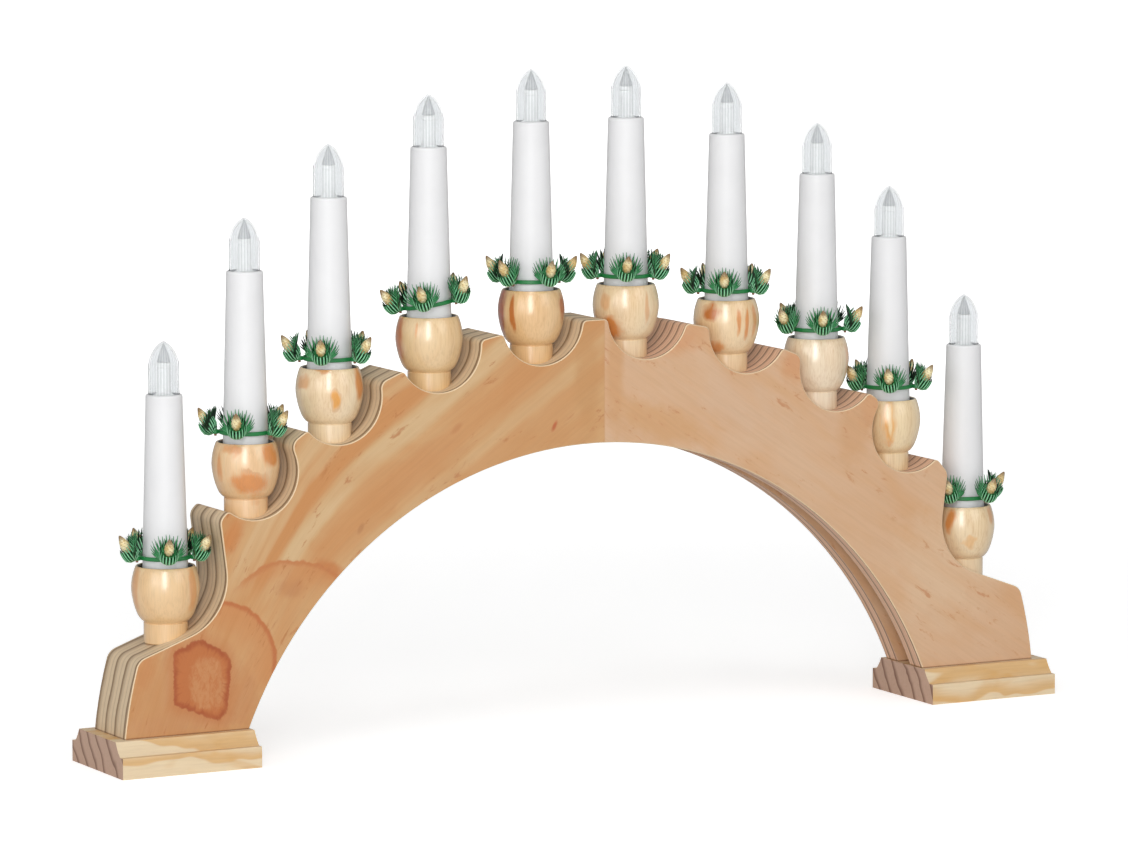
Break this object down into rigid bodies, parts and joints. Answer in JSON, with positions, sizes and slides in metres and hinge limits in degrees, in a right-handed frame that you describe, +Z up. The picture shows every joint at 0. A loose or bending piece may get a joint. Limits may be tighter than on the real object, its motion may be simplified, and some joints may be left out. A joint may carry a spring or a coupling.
{
  "type": "candle arch",
  "caption": "Scalloped wooden arch on moulded feet, carrying a row of electric candles in turned cups with pine wreath rings.",
  "frame": {"origin": "under the middle of the arch, on the plane its feet stand on", "axes": "+X along the arch to the viewer's right, +Y from front to back, +Z up"},
  "size_m": [0.436, 0.05, 0.2744],
  "materials": {
    "pine_left": "clear-lacquered warm orange pine",
    "pine_right": "clear-lacquered pale pinkish pine",
    "foot_pine": "clear-lacquered pale yellow pine",
    "turned_pine": "glossy lacquered turned pine",
    "dowel_wood": "plain hardwood",
    "screw_steel": "zinc plated",
    "sleeve_plastic": "satin off-white",
    "holder_plastic": "matt white",
    "wire_sheath": "satin white sheath",
    "lamp_lens": "clear, ribbed, with a grey inner dome",
    "lamp_base": "bright screw shell",
    "needle_green": "moulded green",
    "cone_gold": "pale gold paint"
  },
  "bodies": {
    "candle_arch": {"arch_left": "pine_left", "arch_right": "pine_right", "arch_dowels": "dowel_wood", "foot_left": "foot_pine", "foot_right": "foot_pine", "foot_screws": "screw_steel", "candle_sleeves": "sleeve_plastic", "lamp_holders": "holder_plastic", "jumper_wires": "wire_sheath", "turned_cups": "turned_pine"},
    "ring_01": {"wreath_band_01": "needle_green", "wreath_sprigs_01": "needle_green", "wreath_cones_01": "cone_gold"},
    "lamp_base_01": {"bulb_base_01": "lamp_base"},
    "lamp_lens_01": {"bulb_lens_01": "lamp_lens"},
    "ring_02": {"wreath_band_02": "needle_green", "wreath_sprigs_02": "needle_green", "wreath_cones_02": "cone_gold"},
    "lamp_base_02": {"bulb_base_02": "lamp_base"},
    "lamp_lens_02": {"bulb_lens_02": "lamp_lens"},
    "ring_03": {"wreath_band_03": "needle_green", "wreath_sprigs_03": "needle_green", "wreath_cones_03": "cone_gold"},
    "lamp_base_03": {"bulb_base_03": "lamp_base"},
    "lamp_lens_03": {"bulb_lens_03": "lamp_lens"},
    "ring_04": {"wreath_band_04": "needle_green", "wreath_sprigs_04": "needle_green", "wreath_cones_04": "cone_gold"},
    "lamp_base_04": {"bulb_base_04": "lamp_base"},
    "lamp_lens_04": {"bulb_lens_04": "lamp_lens"},
    "ring_05": {"wreath_band_05": "needle_green", "wreath_sprigs_05": "needle_green", "wreath_cones_05": "cone_gold"},
    "lamp_base_05": {"bulb_base_05": "lamp_base"},
    "lamp_lens_05": {"bulb_lens_05": "lamp_lens"},
    "ring_06": {"wreath_band_06": "needle_green", "wreath_sprigs_06": "needle_green", "wreath_cones_06": "cone_gold"},
    "lamp_base_06": {"bulb_base_06": "lamp_base"},
    "lamp_lens_06": {"bulb_lens_06": "lamp_lens"},
    "ring_07": {"wreath_band_07": "needle_green", "wreath_sprigs_07": "needle_green", "wreath_cones_07": "cone_gold"},
    "lamp_base_07": {"bulb_base_07": "lamp_base"},
    "lamp_lens_07": {"bulb_lens_07": "lamp_lens"},
    "ring_08": {"wreath_band_08": "needle_green", "wreath_sprigs_08": "needle_green", "wreath_cones_08": "cone_gold"},
    "lamp_base_08": {"bulb_base_08": "lamp_base"},
    "lamp_lens_08": {"bulb_lens_08": "lamp_lens"},
    "ring_09": {"wreath_band_09": "needle_green", "wreath_sprigs_09": "needle_green", "wreath_cones_09": "cone_gold"},
    "lamp_base_09": {"bulb_base_09": "lamp_base"},
    "lamp_lens_09": {"bulb_lens_09": "lamp_lens"},
    "ring_10": {"wreath_band_10": "needle_green", "wreath_sprigs_10": "needle_green", "wreath_cones_10": "cone_gold"},
    "lamp_base_10": {"bulb_base_10": "lamp_base"},
    "lamp_lens_10": {"bulb_lens_10": "lamp_lens"}
  },
  "joints": [
    {"name": "ring_lift_01", "type": "slide", "parent": "candle_arch", "child": "ring_01", "axis": [0, 0, 1], "range_m": [0, 0.033]},
    {"name": "lamp_rise_01", "type": "slide", "parent": "candle_arch", "child": "lamp_base_01", "axis": [0, 0, 1], "range_m": [0, 0.0091]},
    {"name": "lamp_turn_01", "type": "hinge", "parent": "lamp_base_01", "child": "lamp_lens_01", "pos_m": [-0.1876, 0, 0.2], "axis": [0, 0, 1], "range_deg": [0, 1800]},
    {"name": "ring_lift_02", "type": "slide", "parent": "candle_arch", "child": "ring_02", "axis": [0, 0, 1], "range_m": [0, 0.012]},
    {"name": "lamp_rise_02", "type": "slide", "parent": "candle_arch", "child": "lamp_base_02", "axis": [0, 0, 1], "range_m": [0, 0.0091]},
    {"name": "lamp_turn_02", "type": "hinge", "parent": "lamp_base_02", "child": "lamp_lens_02", "pos_m": [-0.1518, 0, 0.2], "axis": [0, 0, 1], "range_deg": [0, 1800]},
    {"name": "ring_lift_03", "type": "slide", "parent": "candle_arch", "child": "ring_03", "axis": [0, 0, 1], "range_m": [0, 0.096]},
    {"name": "lamp_rise_03", "type": "slide", "parent": "candle_arch", "child": "lamp_base_03", "axis": [0, 0, 1], "range_m": [0, 0.0091]},
    {"name": "lamp_turn_03", "type": "hinge", "parent": "lamp_base_03", "child": "lamp_lens_03", "pos_m": [-0.1142, 0, 0.2], "axis": [0, 0, 1], "range_deg": [0, 1800]},
    {"name": "ring_lift_04", "type": "slide", "parent": "candle_arch", "child": "ring_04", "axis": [0, 0, 1], "range_m": [0, 0.096]},
    {"name": "lamp_rise_04", "type": "slide", "parent": "candle_arch", "child": "lamp_base_04", "axis": [0, 0, 1], "range_m": [0, 0.0091]},
    {"name": "lamp_turn_04", "type": "hinge", "parent": "lamp_base_04", "child": "lamp_lens_04", "pos_m": [-0.069, 0, 0.2], "axis": [0, 0, 1], "range_deg": [0, 1800]},
    {"name": "ring_lift_05", "type": "slide", "parent": "candle_arch", "child": "ring_05", "axis": [0, 0, 1], "range_m": [0, 0.096]},
    {"name": "lamp_rise_05", "type": "slide", "parent": "candle_arch", "child": "lamp_base_05", "axis": [0, 0, 1], "range_m": [0, 0.0091]},
    {"name": "lamp_turn_05", "type": "hinge", "parent": "lamp_base_05", "child": "lamp_lens_05", "pos_m": [-0.022, 0, 0.2], "axis": [0, 0, 1], "range_deg": [0, 1800]},
    {"name": "ring_lift_06", "type": "slide", "parent": "candle_arch", "child": "ring_06", "axis": [0, 0, 1], "range_m": [0, 0.096]},
    {"name": "lamp_rise_06", "type": "slide", "parent": "candle_arch", "child": "lamp_base_06", "axis": [0, 0, 1], "range_m": [0, 0.0091]},
    {"name": "lamp_turn_06", "type": "hinge", "parent": "lamp_base_06", "child": "lamp_lens_06", "pos_m": [0.0222, 0, 0.2], "axis": [0, 0, 1], "range_deg": [0, 1800]},
    {"name": "ring_lift_07", "type": "slide", "parent": "candle_arch", "child": "ring_07", "axis": [0, 0, 1], "range_m": [0, 0.096]},
    {"name": "lamp_rise_07", "type": "slide", "parent": "candle_arch", "child": "lamp_base_07", "axis": [0, 0, 1], "range_m": [0, 0.0091]},
    {"name": "lamp_turn_07", "type": "hinge", "parent": "lamp_base_07", "child": "lamp_lens_07", "pos_m": [0.07, 0, 0.2], "axis": [0, 0, 1], "range_deg": [0, 1800]},
    {"name": "ring_lift_08", "type": "slide", "parent": "candle_arch", "child": "ring_08", "axis": [0, 0, 1], "range_m": [0, 0.096]},
    {"name": "lamp_rise_08", "type": "slide", "parent": "candle_arch", "child": "lamp_base_08", "axis": [0, 0, 1], "range_m": [0, 0.0091]},
    {"name": "lamp_turn_08", "type": "hinge", "parent": "lamp_base_08", "child": "lamp_lens_08", "pos_m": [0.1135, 0, 0.2], "axis": [0, 0, 1], "range_deg": [0, 1800]},
    {"name": "ring_lift_09", "type": "slide", "parent": "candle_arch", "child": "ring_09", "axis": [0, 0, 1], "range_m": [0, 0.012]},
    {"name": "lamp_rise_09", "type": "slide", "parent": "candle_arch", "child": "lamp_base_09", "axis": [0, 0, 1], "range_m": [0, 0.0091]},
    {"name": "lamp_turn_09", "type": "hinge", "parent": "lamp_base_09", "child": "lamp_lens_09", "pos_m": [0.1488, 0, 0.2], "axis": [0, 0, 1], "range_deg": [0, 1800]},
    {"name": "ring_lift_10", "type": "slide", "parent": "candle_arch", "child": "ring_10", "axis": [0, 0, 1], "range_m": [0, 0.033]},
    {"name": "lamp_rise_10", "type": "slide", "parent": "candle_arch", "child": "lamp_base_10", "axis": [0, 0, 1], "range_m": [0, 0.0091]},
    {"name": "lamp_turn_10", "type": "hinge", "parent": "lamp_base_10", "child": "lamp_lens_10", "pos_m": [0.1862, 0, 0.2], "axis": [0, 0, 1], "range_deg": [0, 1800]}
  ],
  "couplings": [
    {"joint": "lamp_rise_01", "follows": "lamp_turn_01", "m_per_rad": 0.0002887},
    {"joint": "lamp_rise_02", "follows": "lamp_turn_02", "m_per_rad": 0.0002887},
    {"joint": "lamp_rise_03", "follows": "lamp_turn_03", "m_per_rad": 0.0002887},
    {"joint": "lamp_rise_04", "follows": "lamp_turn_04", "m_per_rad": 0.0002887},
    {"joint": "lamp_rise_05", "follows": "lamp_turn_05", "m_per_rad": 0.0002887},
    {"joint": "lamp_rise_06", "follows": "lamp_turn_06", "m_per_rad": 0.0002887},
    {"joint": "lamp_rise_07", "follows": "lamp_turn_07", "m_per_rad": 0.0002887},
    {"joint": "lamp_rise_08", "follows": "lamp_turn_08", "m_per_rad": 0.0002887},
    {"joint": "lamp_rise_09", "follows": "lamp_turn_09", "m_per_rad": 0.0002887},
    {"joint": "lamp_rise_10", "follows": "lamp_turn_10", "m_per_rad": 0.0002887}
  ]
}
